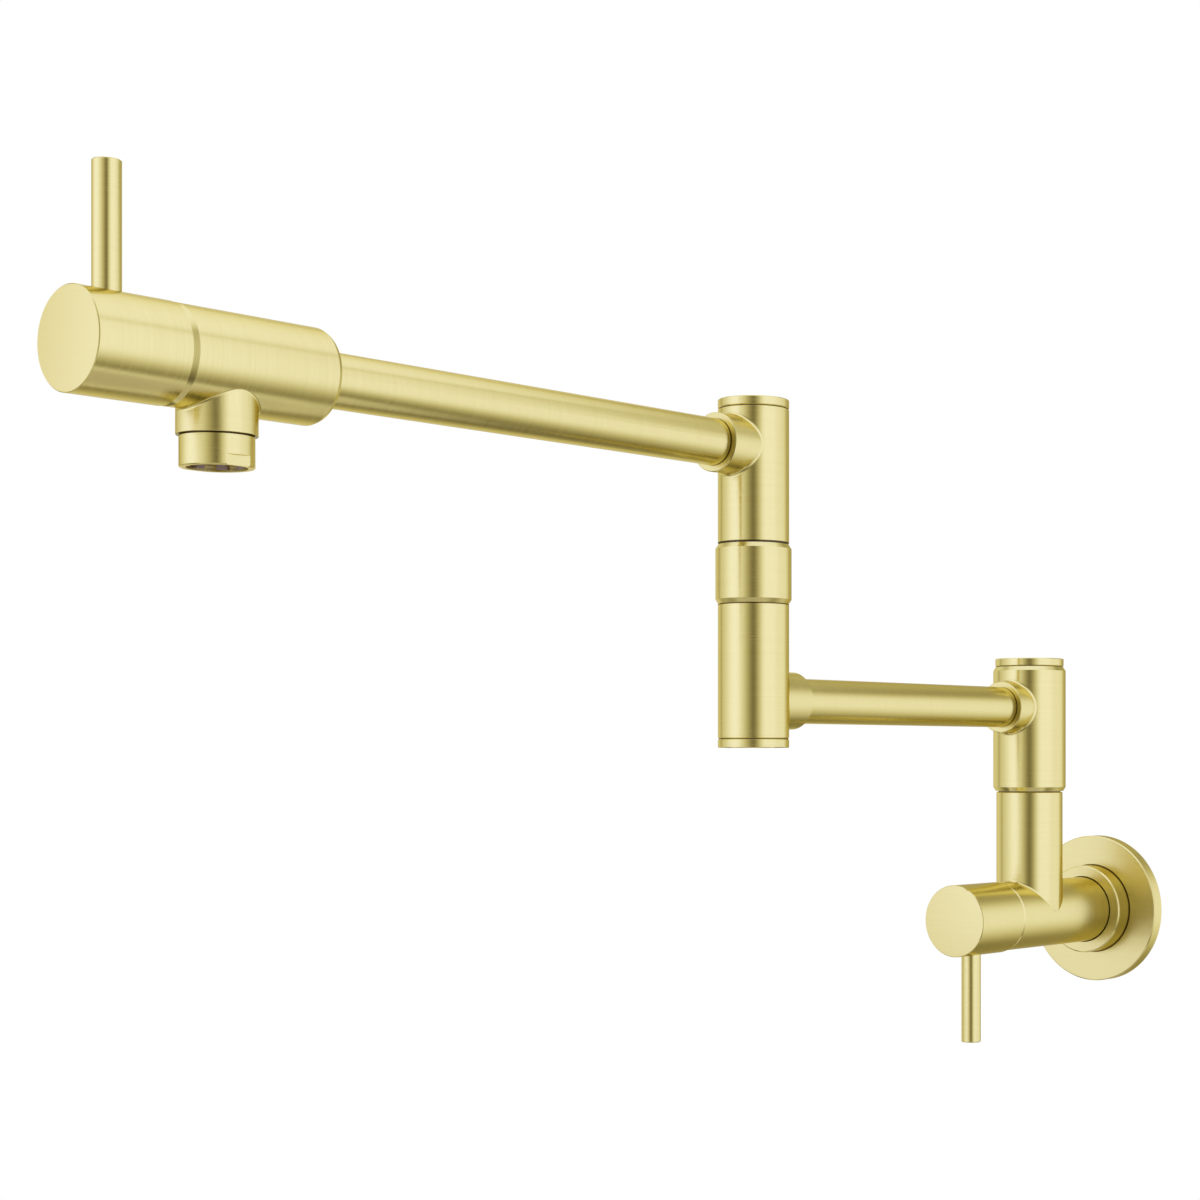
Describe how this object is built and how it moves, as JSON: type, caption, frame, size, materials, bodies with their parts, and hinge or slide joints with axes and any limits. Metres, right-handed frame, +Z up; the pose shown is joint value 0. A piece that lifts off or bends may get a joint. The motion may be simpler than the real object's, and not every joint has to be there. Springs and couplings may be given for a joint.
{
  "type": "wall mounted pot filler",
  "caption": "Wall mounted pot filler: two swinging tube arms on a wall post, lever handles that turn quarter-turn valves, and an aerated outlet.",
  "frame": {"origin": "centre of the inlet thread's mouth, in the wall plane behind the flange", "axes": "+Z up; +Y into the wall along the supply axis; the arms reach out along -Y; +X completes the right-handed frame"},
  "size_m": [0.0722, 0.5792, 0.3154],
  "materials": {
    "satin_gold": "satin brushed pale gold",
    "raw_brass": "turned, unplated",
    "black_rubber": "moulded",
    "ceramic": "lapped ceramic",
    "steel": "stainless",
    "aerator_plastic": "moulded",
    "bearing_plastic": "plain bearing plastic, graphite filled"
  },
  "bodies": {
    "wall_unit": {"supply_body": "satin_gold", "riser": "satin_gold", "pivot_post": "raw_brass", "post_cap": "satin_gold", "post_o_rings": "black_rubber", "sleeve_thrust_washer": "bearing_plastic", "flange_disc": "satin_gold", "flange_collar": "satin_gold", "flange_locknut": "raw_brass", "flange_o_ring": "black_rubber", "wall_gasket": "black_rubber", "lower_cartridge": "raw_brass", "lower_fixed_disc": "ceramic", "lower_seat_gasket": "black_rubber"},
    "lower_handle": {"lower_knob": "satin_gold", "lower_lever": "satin_gold", "lower_grub_screw": "steel", "lower_stem": "raw_brass", "lower_stem_clip": "steel", "lower_stem_o_ring": "black_rubber", "lower_rotor_disc": "ceramic"},
    "lower_arm": {"swivel_sleeve": "satin_gold", "lower_arm_tube": "satin_gold", "lower_joint_body": "satin_gold", "bottom_cap": "satin_gold", "bottom_cap_o_ring": "black_rubber", "joint_collar": "satin_gold", "joint_spindle": "raw_brass", "joint_o_rings": "black_rubber", "joint_thrust_washer": "bearing_plastic", "joint_snap_ring": "steel"},
    "upper_arm": {"upper_joint_body": "satin_gold", "top_cap": "satin_gold", "top_cap_o_ring": "black_rubber", "upper_arm_tube": "satin_gold", "valve_head": "satin_gold", "aerator_housing": "satin_gold", "aerator_insert": "aerator_plastic", "aerator_washer": "black_rubber", "upper_cartridge": "raw_brass", "upper_fixed_disc": "ceramic", "upper_seat_gasket": "black_rubber"},
    "upper_handle": {"upper_knob": "satin_gold", "upper_lever": "satin_gold", "upper_grub_screw": "steel", "upper_stem": "raw_brass", "upper_stem_clip": "steel", "upper_stem_o_ring": "black_rubber", "upper_rotor_disc": "ceramic"}
  },
  "joints": [
    {"name": "lower_arm_swing", "type": "hinge", "parent": "wall_unit", "child": "lower_arm", "pos_m": [0, -0.0625, 0.099], "axis": [0, 0, 1], "range_deg": [-90, 90]},
    {"name": "upper_arm_swing", "type": "hinge", "parent": "lower_arm", "child": "upper_arm", "pos_m": [0, -0.264, 0.2024], "axis": [0, 0, 1], "range_deg": [-180, 180]},
    {"name": "lower_handle_turn", "type": "hinge", "parent": "wall_unit", "child": "lower_handle", "pos_m": [0, -0.1106, 0], "axis": [0, -1, 0], "range_deg": [0, 90]},
    {"name": "upper_handle_turn", "type": "hinge", "parent": "upper_arm", "child": "upper_handle", "pos_m": [0, -0.5658, 0.2024], "axis": [0, -1, 0], "range_deg": [0, 90]}
  ]
}
